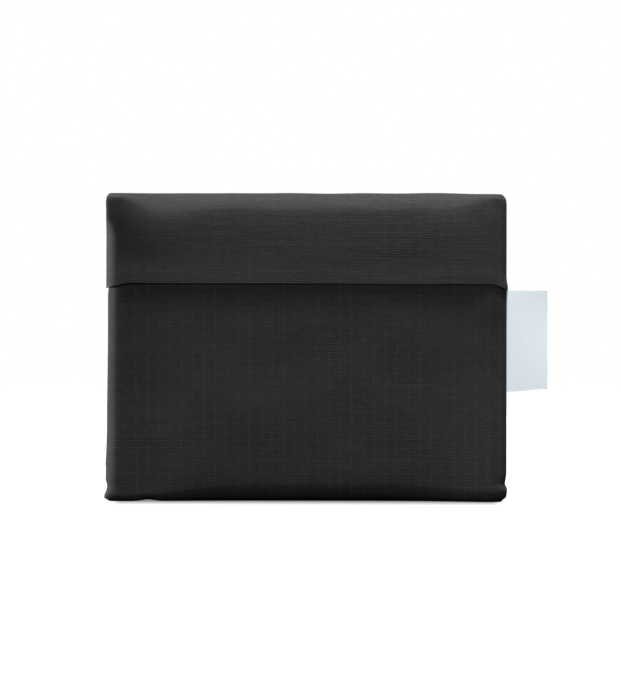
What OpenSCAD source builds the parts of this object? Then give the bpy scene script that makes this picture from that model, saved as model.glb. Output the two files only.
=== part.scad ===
// Foldaway bag, packed flat in its own hooded pocket.
// Millimetres, +Z up. The front looks along -Y and the label stands out along +X.
// The origin is on the standing surface, under the middle of the pocket.

/* [Pocket] */
// Half width of the pocket under the flap
pocket_half_w = 71.4; // [70:0.1:90]
// Seam plane to the outside of the front panel
front_depth = 8.9; // [8.7:0.1:12]
// Seam plane to the outside of the back panel
back_depth = 9.4; // [9.2:0.1:12]
// Height of the mouth of the front panel
mouth_z = 101; // [95:0.5:101.5]
// Height of the rounding along the bottom edges
bottom_round = 10; // [6:0.5:14]
// Depth of the rounding along the bottom edges
bottom_tuck = 4.6; // [3:0.1:5.5]
// Thickness of one cloth, with its loft
cloth = 0.4; // [0.2:0.05:0.8]
// Squareness of the filled pocket in plan
squareness = 30; // [6:1:40]
// How far the filled sides swell below the flap
side_swell = 0.5; // [0:0.1:1.5]
// How far the bottom corners stand out
ear_out = 1.1; // [0:0.1:2]
// Thickness of the bound seam allowances
tape = 0.8; // [0.4:0.1:1.2]
// Depth of the hem at the mouth
mouth_hem_h = 8; // [5:0.5:10]

/* [Flap] */
// Height of the whole pouch
pouch_h = 111; // [110.5:0.5:120]
// Drop of the flap in front
flap_drop = 32.5; // [27:0.5:34]
// How much lower the flap hangs at its sides
flap_dip = 1.4; // [0:0.1:3]
// Height of the turned hem of the flap
flap_hem_h = 9; // [3:0.5:12]
// Slack between the flap and the pocket
flap_slack = 0.3; // [0.3:0.05:0.8]
// Height of the rounding along the top front edge
top_round = 9; // [6:0.5:12]
// Depth of the rounding along the top front edge
top_tuck = 7; // [4:0.1:8]
// Depth of the fold line behind the seam plane
fold_y = 8.4; // [6:0.1:10]
// Radius of the rolled fold
fold_r = 0.6; // [0.4:0.05:0.6]
// Half length of the rolled fold
fold_half_l = 60; // [40:1:64]

/* [Label] */
// Reach of the label from its seam
label_l = 13.9; // [8:0.1:25]
// Height of the label
label_h = 36; // [15:0.5:45]
// Height of the lower edge of the label
label_z = 39.7; // [30:0.1:42]
// Thickness of the ribbon
ribbon = 0.3; // [0.2:0.05:0.4]

/* [Folded bag] */
// Half width of the folded bag
bag_half_w = 62; // [45:1:63]
// Layers of the zigzag fold
bag_layers = 7; // [3:2:7]
// Spacing of the layers
bag_pitch = 1.7; // [1.4:0.05:1.75]
// Thickness of one panel, a few cloths thick
bag_ply = 0.5; // [0.3:0.05:0.5]
// Height of the highest fold
bag_top = 108.9; // [90:0.1:109.2]
// Width of a strap
strap_w = 40; // [25:1:50]
// Thickness of a strap
strap_t = 1.1; // [0.6:0.1:1.2]
// Spacing of the strap layers
strap_pitch = 1.5; // [1.3:0.05:1.5]
// Height of the top of the straps
strap_top = 97; // [80:1:98]

/* [Hidden] */
cols = 24;
fold_z = pouch_h - fold_r;
hem_z = pouch_h - flap_drop;
back_top = fold_z - fold_r;
label_axis = pocket_half_w + side_swell + 1;
label_t = 2 * ribbon + 0.2;
ply_step = (bag_ply + 0.05) / 2;
bag_base = cloth + tape;
bag_first = -3.275;
bag_front = bag_first - ply_step - bag_ply / 2;
bag_last = bag_first + (bag_layers - 1) * bag_pitch;
bag_fold_r = bag_pitch / 2 + ply_step + bag_ply / 2;
binding_t = 0.4;

// A soft swelling, 1 in the middle and 0 from the given reach
function swell(s) = abs(s) < 1 ? (1 + cos(180 * s)) / 2 : 0;

// Half width of the filled pocket at a height
function side_x(z) = pocket_half_w + side_swell * swell((z - 30) / 40) + ear_out * swell((z - 3.2) / 3.4)
    - 1.6 * pow(max(0, z - mouth_z) / (back_top - mouth_z), 3);

// Depth of the filled pocket in front of and behind the seam plane
function front_y(z) = front_depth + 0.5 * swell((z - 36) / 42);
function back_y(z) = back_depth + 0.6 * swell((z - 48) / 50) - 0.8 * pow(max(0, z + 13 - pouch_h) / 12, 2);

// Share of the depth that is left at x, round at the sides and flat between
function fullness(x, w) = sqrt(max(0, 1 - pow(abs(x) / w, squareness)));

// Column positions from side to side, close together at the sides
function spread(k) = let (p = 2 * k / cols - 1) sign(p) * (1 - pow(1 - abs(p), 3));

// Rows are [height, depth, half width, dip at the sides], from the top down
hem_foot = mouth_z - mouth_hem_h;
heights = concat(
    [mouth_z, mouth_z - mouth_hem_h / 2],
    [for (i = [0 : 8]) hem_foot - i * (hem_foot - bottom_round - 6) / 8],
    [bottom_round + 2.5, bottom_round]);

function foot_rows(depth, off) = concat(
    [for (a = [14, 26, 38, 52, 70, 90])
        let (z = max(0, bottom_round * (1 - sin(a))))
        [z + off * sin(a), depth - bottom_tuck + (bottom_tuck - off) * cos(a), side_x(z) - off, 0]],
    [[off, (depth - bottom_tuck) / 2, side_x(0) - 2 - off, 0], [off, 0, side_x(0) - 6 - off, 0]]);

function front_rows(off) = concat(
    [for (z = heights) [z, front_y(z) - off, side_x(z) - off, 0]],
    foot_rows(front_y(bottom_round), off));

function back_rows(off) = concat(
    [for (z = concat([back_top, (back_top + mouth_z) / 2], heights)) [z, back_y(z) - off, side_x(z) - off, 0]],
    foot_rows(back_y(bottom_round), off));

// Rows of the flap, from its rear edge over the top and down the front
function flap_rows(off) =
    let (w = pocket_half_w + off, d = front_depth + off, top = pouch_h - 2 * cloth - flap_slack + off,
         r = top_round - 2 * cloth - flap_slack + off, t = top_tuck - 2 * cloth - flap_slack + off)
    concat(
        [[top, -fold_y + fold_r + 0.2, w - 1.9, 0], [top, -5, w - 1.7, 0], [top, -1.5, w - 1.5, 0]],
        [for (a = [90, 72, 55, 40, 26, 13, 0])
            [top - r + r * sin(a), d - t + t * cos(a), w - 1.3 * pow(sin(a), 5), 0]],
        [[pouch_h - 18, d, w, 0]],
        [[hem_z + flap_hem_h, d, w, 0.6 * flap_dip], [hem_z, d, w, flap_dip]]);

// Points of a row, sgn -1 for the front and 1 for the back
function row_points(row, sgn) = [for (k = [0 : cols])
    let (x = row[2] * spread(k), f = fullness(x, row[2]))
    [x, sgn * row[1] * f, row[0] - row[3] * (1 - f)]];

function slice(list, a, b) = [for (i = [a : b]) list[i]];
function quad(a, b, c, d, left = false) = left ? [[a, b, d], [b, c, d]] : [[a, b, c], [a, c, d]];
function backwards(faces) = [for (f = faces) [f[2], f[1], f[0]]];

// Closed cloth between two surfaces of the same rows and columns
module cloth_between(outer, inner, sgn, k0 = 0, k1 = cols) {
    skin = [for (rows = [outer, inner]) [for (row = rows) slice(row_points(row, sgn), k0, k1)]];
    m = len(outer);
    n = k1 - k0 + 1;
    points = [for (s = skin) for (row = s) for (p = row) p];
    function at(s, j, k) = (s * m + j) * n + k;
    function left(k) = k + k0 < cols / 2;
    faces = [
        for (j = [0 : m - 2]) for (k = [0 : n - 2])
            each quad(at(0, j, k), at(0, j, k + 1), at(0, j + 1, k + 1), at(0, j + 1, k), left(k)),
        for (j = [0 : m - 2]) for (k = [0 : n - 2])
            each quad(at(1, j, k), at(1, j + 1, k), at(1, j + 1, k + 1), at(1, j, k + 1), left(k)),
        for (k = [0 : n - 2]) each quad(at(1, 0, k), at(1, 0, k + 1), at(0, 0, k + 1), at(0, 0, k)),
        for (k = [0 : n - 2])
            each quad(at(0, m - 1, k), at(0, m - 1, k + 1), at(1, m - 1, k + 1), at(1, m - 1, k)),
        for (j = [0 : m - 2]) each quad(at(0, j, 0), at(0, j + 1, 0), at(1, j + 1, 0), at(1, j, 0)),
        for (j = [0 : m - 2])
            each quad(at(1, j, n - 1), at(1, j + 1, n - 1), at(0, j + 1, n - 1), at(0, j, n - 1))];
    polyhedron(points, sgn < 0 ? faces : backwards(faces));
}

// Slot in the right side seam for the ends of the ribbon
module ribbon_slot() {
    translate([label_axis - 7, -ribbon + 0.05, label_z])
        cube([8, 2 * ribbon - 0.1, label_h]);
}

module pocket_front() {
    color([0.13, 0.13, 0.14])
    difference() {
        cloth_between(front_rows(0), front_rows(cloth), -1);
        ribbon_slot();
    }
}

module pocket_back() {
    color([0.11, 0.11, 0.12])
    difference() {
        cloth_between(back_rows(0), back_rows(cloth), 1);
        ribbon_slot();
    }
}

module mouth_hem() {
    color([0.16, 0.16, 0.17])
    cloth_between(slice(front_rows(cloth), 0, 2), slice(front_rows(2 * cloth), 0, 2), -1);
}

// Bound seam allowances, pressed flat on the back panel
module left_seam_tape() {
    color([0.08, 0.08, 0.09])
    cloth_between(slice(back_rows(cloth), 2, 20), slice(back_rows(cloth + tape), 2, 20), 1, 0, 4);
}

module right_seam_tape() {
    color([0.08, 0.08, 0.09])
    difference() {
        cloth_between(slice(back_rows(cloth), 2, 20), slice(back_rows(cloth + tape), 2, 20), 1, cols - 4, cols);
        ribbon_slot();
    }
}

module bottom_seam_tape() {
    color([0.08, 0.08, 0.09])
    cloth_between(slice(back_rows(cloth), 20, 22), slice(back_rows(cloth + tape), 20, 22), 1, 4, cols - 4);
}

// The line that the flap turns on
module flap_fold() {
    color([0.11, 0.11, 0.12])
    translate([-fold_half_l, fold_y, fold_z])
        rotate([0, 90, 0])
            cylinder(r = fold_r, h = 2 * fold_half_l, $fn = 48);
}

module flap_outer() {
    color([0.15, 0.15, 0.16])
    cloth_between(flap_rows(flap_slack + 2 * cloth), flap_rows(flap_slack + cloth), -1);
}

module flap_lining() {
    color([0.10, 0.10, 0.11])
    cloth_between(slice(flap_rows(flap_slack + cloth), 0, 11), slice(flap_rows(flap_slack), 0, 11), -1);
}

module flap_hem() {
    color([0.18, 0.18, 0.19])
    cloth_between(slice(flap_rows(flap_slack + cloth), 11, 12), slice(flap_rows(flap_slack), 11, 12), -1);
}

// Ribbon folded on itself, with its sewn edge rolled round the seam line
module side_label() {
    color([0.86, 0.89, 0.92])
    translate([label_axis, 0, label_z])
        linear_extrude(label_h)
            difference() {
                union() {
                    circle(r = 0.45, $fn = 48);
                    translate([0, -label_t / 2]) square([label_l - label_t / 2, label_t]);
                    translate([label_l - label_t / 2, 0]) circle(d = label_t, $fn = 48);
                }
                translate([0.8, -0.1]) square([label_l - label_t / 2 - 0.8, 0.2]);
                translate([label_l - label_t / 2, 0]) circle(d = 0.2, $fn = 48);
            }
}

module label_sewn_ends() {
    color([0.80, 0.83, 0.87])
    translate([label_axis, 0, label_z])
        linear_extrude(label_h)
            difference() {
                translate([-7, -ribbon + 0.05]) square([7, 2 * ribbon - 0.1]);
                circle(r = 0.5, $fn = 48);
            }
}

// One edge of a folded strip: start, folds as [depth, height, radius, up], end
function strip_edge(start, folds, end, t, s) = concat(
    [[start[0] + (folds[0][3] ? -s : s) * t / 2, start[1]]],
    [for (f = folds)
        let (r = f[2] + (f[3] ? s : -s) * t / 2)
        for (a = [0 : 15 : 180])
            [f[0] - r * cos(a), f[1] + (f[3] ? 1 : -1) * r * sin(a)]],
    [[end[0] + (folds[len(folds) - 1][3] ? s : -s) * t / 2, end[1]]]);

function reversed(list) = [for (i = [len(list) - 1 : -1 : 0]) list[i]];

// Outline of a folded strip
module folded_strip(start, folds, end, t) {
    polygon(concat(strip_edge(start, folds, end, t, 1), reversed(strip_edge(start, folds, end, t, -1))));
}

// Height of fold i, so that the folds don't stand in one line
function bag_fold_z(i) = i % 2 == 1
    ? bag_top - bag_fold_r - 1.3 + 1.3 * sin(97 * i)
    : bag_base + bag_fold_r + (i == bag_layers - 3 ? 0 : 0.8 + 0.5 * sin(71 * i));

// Zigzag of one panel, side 1 and -1 for the two panels that are folded together
module zigzag(side) {
    function layer_y(i) = bag_first + i * bag_pitch + side * ply_step * (i % 2 == 0 ? 1 : -1);
    folded_strip(
        [layer_y(0), bag_top - 3],
        [for (i = [0 : bag_layers - 2])
            [(layer_y(i) + layer_y(i + 1)) / 2, bag_fold_z(i), (layer_y(i + 1) - layer_y(i)) / 2, i % 2 == 1]],
        [layer_y(bag_layers - 1), bag_base + 8],
        bag_ply);
}

// A profile in depth and height, drawn out sideways about the middle
module across(width) {
    translate([-width / 2, 0, 0])
        rotate([90, 0, 90])
            linear_extrude(width)
                children();
}

module bag_front_panel() {
    color([0.20, 0.20, 0.21])
    across(2 * bag_half_w) zigzag(-1);
}

module bag_back_panel() {
    color([0.14, 0.14, 0.15])
    across(2 * bag_half_w) zigzag(1);
}

// Binding folded over the free edge of the bag
module bag_mouth_binding() {
    inside = 2 * ply_step + bag_ply;
    color([0.07, 0.07, 0.08])
    across(2 * bag_half_w)
        translate([bag_front, bag_top - 3])
            difference() {
                translate([-binding_t, -7]) square([inside + 2 * binding_t, 7 + binding_t]);
                translate([0, -8]) square([inside, 8]);
            }
}

module strap() {
    function strap_y(i) = bag_front - strap_t / 2 - (2 - i) * strap_pitch;
    r = strap_pitch / 2;
    across(strap_w)
        folded_strip(
            [strap_y(0), 9],
            [[strap_y(0) + r, strap_top - r - strap_t / 2, r, true], [strap_y(1) + r, 6, r, false]],
            [strap_y(2), strap_top - 4],
            strap_t);
}

module left_strap() {
    color([0.24, 0.24, 0.25])
    translate([-bag_half_w / 2 - 4, 0, 0]) strap();
}

module right_strap() {
    color([0.24, 0.24, 0.25])
    translate([bag_half_w / 2 + 4, 0, 0]) strap();
}

// Tape from the last layer of the bag down to the bottom seam
module joining_tape() {
    y = bag_last + ply_step + bag_ply / 2;
    foot = bag_base + 0.05;
    color([0.08, 0.08, 0.09])
    across(80)
        polygon([[y, foot + 22], [y + 0.5, foot + 22], [y + 0.5, foot + 4.8], [y - 0.95, foot],
                 [y - 1.45, foot], [y, foot + 5]]);
}

pocket_front();
pocket_back();
mouth_hem();
left_seam_tape();
right_seam_tape();
bottom_seam_tape();
flap_fold();
flap_outer();
flap_lining();
flap_hem();
side_label();
label_sewn_ends();
bag_front_panel();
bag_back_panel();
bag_mouth_binding();
left_strap();
right_strap();
joining_tape();
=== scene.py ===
import math
import bpy
import numpy as np
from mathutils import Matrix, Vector, noise


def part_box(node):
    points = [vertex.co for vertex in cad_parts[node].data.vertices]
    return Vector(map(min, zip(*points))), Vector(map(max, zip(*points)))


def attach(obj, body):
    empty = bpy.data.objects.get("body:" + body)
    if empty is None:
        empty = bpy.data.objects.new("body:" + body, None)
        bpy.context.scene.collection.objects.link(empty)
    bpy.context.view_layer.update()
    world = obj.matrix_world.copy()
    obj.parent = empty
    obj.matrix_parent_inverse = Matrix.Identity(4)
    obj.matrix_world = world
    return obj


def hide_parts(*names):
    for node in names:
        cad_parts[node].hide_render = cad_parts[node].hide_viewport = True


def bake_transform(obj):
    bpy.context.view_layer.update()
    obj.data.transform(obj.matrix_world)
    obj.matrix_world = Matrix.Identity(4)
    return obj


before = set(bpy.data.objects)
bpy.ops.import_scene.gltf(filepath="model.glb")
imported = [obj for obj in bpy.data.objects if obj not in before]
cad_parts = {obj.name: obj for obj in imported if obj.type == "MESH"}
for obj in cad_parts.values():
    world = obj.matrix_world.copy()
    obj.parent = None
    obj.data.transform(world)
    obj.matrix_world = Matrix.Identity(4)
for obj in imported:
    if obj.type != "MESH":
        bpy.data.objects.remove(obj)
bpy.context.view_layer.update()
mm = 0.001
print("frame loaded,", len(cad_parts), "nodes")


# Shapes along one direction, and small waves

def ease(start, end, value):
    t = np.clip((value - start) / (end - start), 0, 1)
    return t * t * (3 - 2 * t)


def swell(s):
    return np.where(np.abs(s) < 1, 0.5 + 0.5 * np.cos(np.pi * np.clip(s, -1, 1)), 0)


def peak(value, middle, wide):
    return np.exp(-((value - middle) / wide) ** 2)


# A bulge rises, fades, swells or peaks where its entries say
def bulge(value, shape):
    out = shape["out"]
    if "rise" in shape:
        out = out * ease(*shape["rise"], value)
    if "fade" in shape:
        out = out * (1 - ease(*shape["fade"], value))
    if "swell" in shape:
        middle, half = shape["swell"]
        out = out * swell((value - middle) / half)
    if "peak" in shape:
        out = out * peak(value, *shape["peak"])
    return out


def bulges(value, shapes):
    return sum(bulge(value, shape) for shape in shapes)


# 1 in the middle, less towards the left and the right side
def middleShare(x, sides):
    left, right = sides
    return 1 - np.where(x < 0, ease(*left, -x), ease(*right, x))


def waver(x, z, size, seed):
    flat = [noise.noise(Vector((a / size, b / size, seed))) for a, b in zip(np.ravel(x), np.ravel(z))]
    return np.array(flat).reshape(np.shape(x))


def waves(x, z, wave):
    return wave["out"] * waver(x, z, wave["size"], wave["seed"])


# Small puckers beside the side seams
def puckers(x, z, pucker):
    return waves(pucker["stretch"] * x, z, pucker) * peak(np.abs(x), *pucker["peak"])


# Each spot is a row: its middle, its width and height, how far it stands out, and its turn in degrees
def lumps(x, z, spots):
    total = np.zeros(np.shape(x))
    for middleX, middleZ, wide, high, out, degrees in spots:
        turn = math.radians(degrees)
        dx = x - middleX
        dz = z - middleZ
        along = (dx * math.cos(turn) + dz * math.sin(turn)) / wide
        across = (dz * math.cos(turn) - dx * math.sin(turn)) / high
        total = total + out * np.exp(-along ** 2 - across ** 2)
    return total


# Grids of points in millimetres become cloths in metres

def deselectAll():
    for item in list(bpy.context.selected_objects):
        item.select_set(False)


def makeActive(piece):
    deselectAll()
    piece.select_set(True)
    bpy.context.view_layer.objects.active = piece


def applyAll(piece):
    makeActive(piece)
    for modifier in list(piece.modifiers):
        bpy.ops.object.modifier_apply(modifier=modifier.name)


def outward(grid):
    down = np.gradient(grid, axis=0)
    across = np.gradient(grid, axis=1)
    normal = np.cross(down, across)
    return normal / np.maximum(np.linalg.norm(normal, axis=2, keepdims=True), 1e-9)


def lengthAlong(points):
    return np.insert(np.cumsum(np.linalg.norm(np.diff(points, axis=0), axis=1)), 0, 0)


def arcLengths(grid, axis):
    steps = np.linalg.norm(np.diff(grid, axis=axis), axis=2)
    return np.insert(np.cumsum(steps, axis=axis), 0, 0, axis=axis)


def addObject(name, data):
    item = bpy.data.objects.new(name, data)
    bpy.context.scene.collection.objects.link(item)
    return item


def newPiece(name, points, faces, flatPlaces):
    mesh = bpy.data.meshes.new(name)
    mesh.from_pydata([tuple(p) for p in points * mm], [], faces)
    uv = mesh.uv_layers.new(name="clothMap")
    corner = np.zeros(len(mesh.loops), int)
    mesh.loops.foreach_get("vertex_index", corner)
    uv.data.foreach_set("uv", flatPlaces[corner].ravel())
    return addObject(name, mesh)


def makeCloth(name, grid, thickness, material, flip=False, offset=-1, keepSharp=50, evenFrom=0):
    rows, cols = grid.shape[:2]
    u = arcLengths(grid, 1)
    u = (u - u[:, cols // 2:cols // 2 + 1]) * mm
    v = arcLengths(grid, 0)
    v = (v[evenFrom:evenFrom + 1] - v) * mm
    faces = []
    for r in range(rows - 1):
        for c in range(cols - 1):
            quad = [r * cols + c, (r + 1) * cols + c, (r + 1) * cols + c + 1, r * cols + c + 1]
            faces.append(quad[::-1] if flip else quad)
    piece = newPiece(name, grid.reshape(-1, 3), faces, np.column_stack([u.ravel(), v.ravel()]))
    solid = piece.modifiers.new("thickness", "SOLIDIFY")
    solid.thickness = thickness * mm
    solid.offset = offset
    applyAll(piece)
    bpy.ops.object.shade_smooth_by_angle(angle=math.radians(keepSharp))
    piece.data.materials.append(material)
    return piece


def turnSteps(start, stop, count):
    return np.radians(np.linspace(start, stop, count + 1))


# Even steps along a row, with the same number of columns on each side of the middle
def evenRow(leftReach, rightReach, depth, squareness, eachSide, fineness=400):
    fine = np.sin(np.linspace(-np.pi / 2, np.pi / 2, 2 * fineness + 1))
    full = np.sqrt(np.maximum(0, 1 - np.abs(fine) ** squareness))
    x = np.where(fine < 0, fine * leftReach, fine * rightReach)
    length = lengthAlong(np.column_stack([x, full * depth]))
    left = np.linspace(0, length[fineness], eachSide + 1)
    right = np.linspace(length[fineness], length[-1], eachSide + 1)[1:]
    places = np.concatenate([left, right])
    return np.interp(places, length, x), np.interp(places, length, full)


# Shader nodes and groups

def giveInputs(tree, node, values):
    for label, value in values.items():
        if isinstance(value, bpy.types.NodeSocket):
            tree.links.new(value, node.inputs[label])
        else:
            node.inputs[label].default_value = value


def addNode(tree, kind, values=None, **settings):
    node = tree.nodes.new("ShaderNode" + kind)
    for label, value in settings.items():
        setattr(node, label, value)
    giveInputs(tree, node, values or {})
    return node


def math2(tree, operation, *values):
    return addNode(tree, "Math", dict(enumerate(values)), operation=operation).outputs[0]


def weighted(tree, start, parts):
    total = start
    for value, share in parts:
        total = math2(tree, "MULTIPLY_ADD", value, share, total)
    return total


def sineAlong(tree, place, pitch, share=1.0):
    turn = math2(tree, "DIVIDE", math2(tree, "MULTIPLY", place, 2 * math.pi * share), pitch)
    return math2(tree, "SINE", turn)


def softStep(tree, value, low, high, atLow, atHigh):
    values = {"Value": value, "From Min": low, "From Max": high, "To Min": atLow, "To Max": atHigh}
    return addNode(tree, "MapRange", values, interpolation_type="SMOOTHSTEP").outputs["Result"]


def noiseAt(tree, vector, scale, detail=2.0):
    return addNode(tree, "TexNoise", {"Vector": vector, "Scale": scale, "Detail": detail}).outputs


def cloudAt(tree, vector, across, along, detail):
    finer = addNode(tree, "VectorMath", {0: vector, 1: (across, along, 1)}, operation="MULTIPLY")
    return noiseAt(tree, finer.outputs[0], 1.0, detail)["Fac"]


def newGroup(name, values, outputs):
    group = bpy.data.node_groups.new(name, "ShaderNodeTree")
    group.interface.new_socket("Cloth", in_out="INPUT", socket_type="NodeSocketVector")
    for label, value in values.items():
        socket = group.interface.new_socket(label, in_out="INPUT", socket_type="NodeSocketFloat")
        socket.default_value = value
    for label in outputs:
        group.interface.new_socket(label, in_out="OUTPUT", socket_type="NodeSocketFloat")
    return group, group.nodes.new("NodeGroupInput").outputs, group.nodes.new("NodeGroupOutput")


# Ripstop: fine ribs across, checked dots where they break, and a grid of thicker threads

ripstop = {
    "values": {"Grid Wide": 0.00407, "Grid High": 0.00455, "Rib": 0.00082, "Waver": 0.0008,
               "Upright": 1.9, "Streak": 0.5, "Dots": 1.4},
    "driftScale": 85.0, "threadBlur": 2.2, "threadHalf": {"Grid Wide": 0.00014, "Grid High": 0.0002},
    "uprightByRibs": (0.7, 0.2), "levelByKnots": (0.3, 0.15), "dotShare": 0.74, "dotsLeft": 1.15,
    "clouds": {"streak": (45, 1500, 3.0), "patch": (260, 260, 3.0), "breaks": (420, 900, 2.0),
               "grain": (2600, 2600, 2.0)},
    "presence": (0.32, 0.66, 0.3, 1.0), "unbroken": (0.3, 0.7, 0.45, 1.0),
    "tone": {"start": -0.35, "ribs": 0.5, "grain": 0.8, "threads": 0.3},
    "height": {"threads": 0.25, "ribs": 0.5, "grain": 0.3, "knots": 0.12},
}


def ripstopGroup():
    group, given, result = newGroup("ripstopWeave", ripstop["values"], ("Tone", "Height"))
    cloth = given["Cloth"]
    split = addNode(group, "SeparateXYZ", {0: cloth}).outputs
    drift = noiseAt(group, cloth, ripstop["driftScale"])["Color"]
    shift = addNode(group, "SeparateColor", {0: drift}).outputs
    places, lines = [], []
    for side, (spacing, thick) in enumerate(ripstop["threadHalf"].items()):
        off = math2(group, "SUBTRACT", shift[side], 0.5)
        places.append(math2(group, "MULTIPLY_ADD", off, given["Waver"], split[side]))
        away = math2(group, "PINGPONG", places[side], math2(group, "MULTIPLY", given[spacing], 0.5))
        lines.append(softStep(group, away, thick, thick * ripstop["threadBlur"], 1.0, 0.0))
    ribWave, knotWave = (sineAlong(group, place, given["Rib"]) for place in places[::-1])
    dotWave = sineAlong(group, places[0], given["Rib"], ripstop["dotShare"])
    ribs, knots = (math2(group, "MULTIPLY_ADD", wave, 0.5, 0.5) for wave in (ribWave, knotWave))
    upright = math2(group, "MULTIPLY_ADD", ribs, *ripstop["uprightByRibs"])
    upright = math2(group, "MULTIPLY", math2(group, "MULTIPLY", lines[0], upright), given["Upright"])
    level = math2(group, "MULTIPLY_ADD", knots, *ripstop["levelByKnots"])
    level = math2(group, "MULTIPLY", lines[1], level)
    clouds = {name: cloudAt(group, cloth, *cloud) for name, cloud in ripstop["clouds"].items()}
    presence = softStep(group, clouds["patch"], *ripstop["presence"])
    threads = math2(group, "MULTIPLY", math2(group, "MAXIMUM", upright, level), presence)
    unbroken = softStep(group, clouds["breaks"], *ripstop["unbroken"])
    dots = math2(group, "MULTIPLY", math2(group, "MULTIPLY", ribWave, dotWave),
                 math2(group, "SUBTRACT", ripstop["dotsLeft"], unbroken))
    ribs = math2(group, "MULTIPLY", ribs, unbroken)
    tone, height = ripstop["tone"], ripstop["height"]
    tone = weighted(group, tone["start"], [
        (ribs, tone["ribs"]), (dots, given["Dots"]), (clouds["streak"], given["Streak"]),
        (clouds["grain"], tone["grain"]), (threads, tone["threads"])])
    height = weighted(group, 0.0, [
        (threads, height["threads"]), (ribs, height["ribs"]),
        (clouds["grain"], height["grain"]), (knots, height["knots"])])
    giveInputs(group, result, {"Tone": tone, "Height": height})
    return group


# Faint lint and rubbed patches on dark cloth

lint = {"scale": 130.0, "edge": (0.012, 0.03), "above": 0.93, "share": 0.06, "colour": (0.3, 0.3, 0.31),
        "rubScale": 55.0, "rubDetail": 4.0, "rubEdge": (0.42, 0.68)}


def lintGroup():
    group, given, result = newGroup("lintAndRub", {}, ("Lint", "Rub"))
    specks = addNode(group, "TexVoronoi", {"Vector": given["Cloth"], "Scale": lint["scale"]}).outputs
    near = softStep(group, specks["Distance"], *lint["edge"], 1.0, 0.0)
    pick = addNode(group, "SeparateColor", {0: specks["Color"]}).outputs[0]
    few = math2(group, "GREATER_THAN", pick, lint["above"])
    broad = noiseAt(group, given["Cloth"], lint["rubScale"], lint["rubDetail"])["Fac"]
    rub = softStep(group, broad, *lint["rubEdge"], 0.0, 1.0)
    giveInputs(group, result, {"Lint": math2(group, "MULTIPLY", near, few), "Rub": rub})
    return group


# Narrow woven tape or ribbon: ribs one way, fine threads the other

ribbed = {"values": {"Rib": 0.0006, "Thread": 0.0003}, "streak": (1600, 40, 3.0),
          "tone": {"streak": 0.6, "ribs": 0.3}, "height": {"ribs": 0.7, "threads": 0.3}}


def ribbedGroup():
    group, given, result = newGroup("ribbedWeave", ribbed["values"], ("Tone", "Height"))
    split = addNode(group, "SeparateXYZ", {0: given["Cloth"]}).outputs
    sines = [sineAlong(group, split[side], given[spacing]) for side, spacing in enumerate(ribbed["values"])]
    ribs, threads = (math2(group, "MULTIPLY_ADD", sine, 0.5, 0.5) for sine in sines)
    streak = cloudAt(group, given["Cloth"], *ribbed["streak"])
    tone, height = ribbed["tone"], ribbed["height"]
    tone = weighted(group, 0.0, [(streak, tone["streak"]), (ribs, tone["ribs"])])
    height = weighted(group, 0.0, [(ribs, height["ribs"]), (threads, height["threads"])])
    giveInputs(group, result, {"Tone": tone, "Height": height})
    return group


groups = {"ripstop": ripstopGroup(), "lint": lintGroup(), "ribbed": ribbedGroup()}
print("shader groups made:", ", ".join(groups))


# Materials: colour and roughness follow the tone of the weave, and its height is a bump

finishes = {
    "ripstop": {"sheen": {"Sheen Roughness": 0.45, "Sheen Tint": (0.9, 0.93, 1.0, 1)},
                "roughTones": (0.1, 1.1), "bump": 0.7},
    "ribbed": {"sheen": {"Sheen Roughness": 0.4}, "roughTones": (0.0, 1.0), "bump": 0.6},
}


# The colours of a mix node are its inputs 6 and 7 and its output 2
def mixColour(tree, share, first, second):
    colours = (c if isinstance(c, bpy.types.NodeSocket) else (*c, 1) for c in (first, second))
    values = {"Factor": share, **dict(zip((6, 7), colours))}
    return addNode(tree, "Mix", values, data_type="RGBA", clamp_factor=True).outputs[2]


def makeMaterial(name, look):
    kind = "ripstop" if "worn" in look else "ribbed"
    finish = finishes[kind]
    material = bpy.data.materials.new(name)
    material.use_nodes = True
    tree = material.node_tree
    cloth = addNode(tree, "TexCoord").outputs["UV"]
    weave = addNode(tree, "Group", {"Cloth": cloth, **look["weave"]}, node_tree=groups[kind]).outputs
    colour = mixColour(tree, weave["Tone"], look["deep"], look["raised"])
    if "worn" in look:
        marks = addNode(tree, "Group", {"Cloth": cloth}, node_tree=groups["lint"]).outputs
        colour = mixColour(tree, math2(tree, "MULTIPLY", marks["Rub"], look["rub"]), colour, look["worn"])
        specks = math2(tree, "MULTIPLY", marks["Lint"], lint["share"])
        colour = mixColour(tree, specks, colour, lint["colour"])
    bump = addNode(tree, "Bump", {"Strength": finish["bump"], "Distance": look["bump"] * mm,
                                  "Height": weave["Height"]})
    giveInputs(tree, tree.nodes["Principled BSDF"], {
        "Base Color": colour, "Normal": bump.outputs["Normal"],
        "Roughness": softStep(tree, weave["Tone"], *finish["roughTones"], *look["rough"]),
        "Specular IOR Level": look["gloss"], "Sheen Weight": look["sheen"], **finish["sheen"]})
    return material


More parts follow.
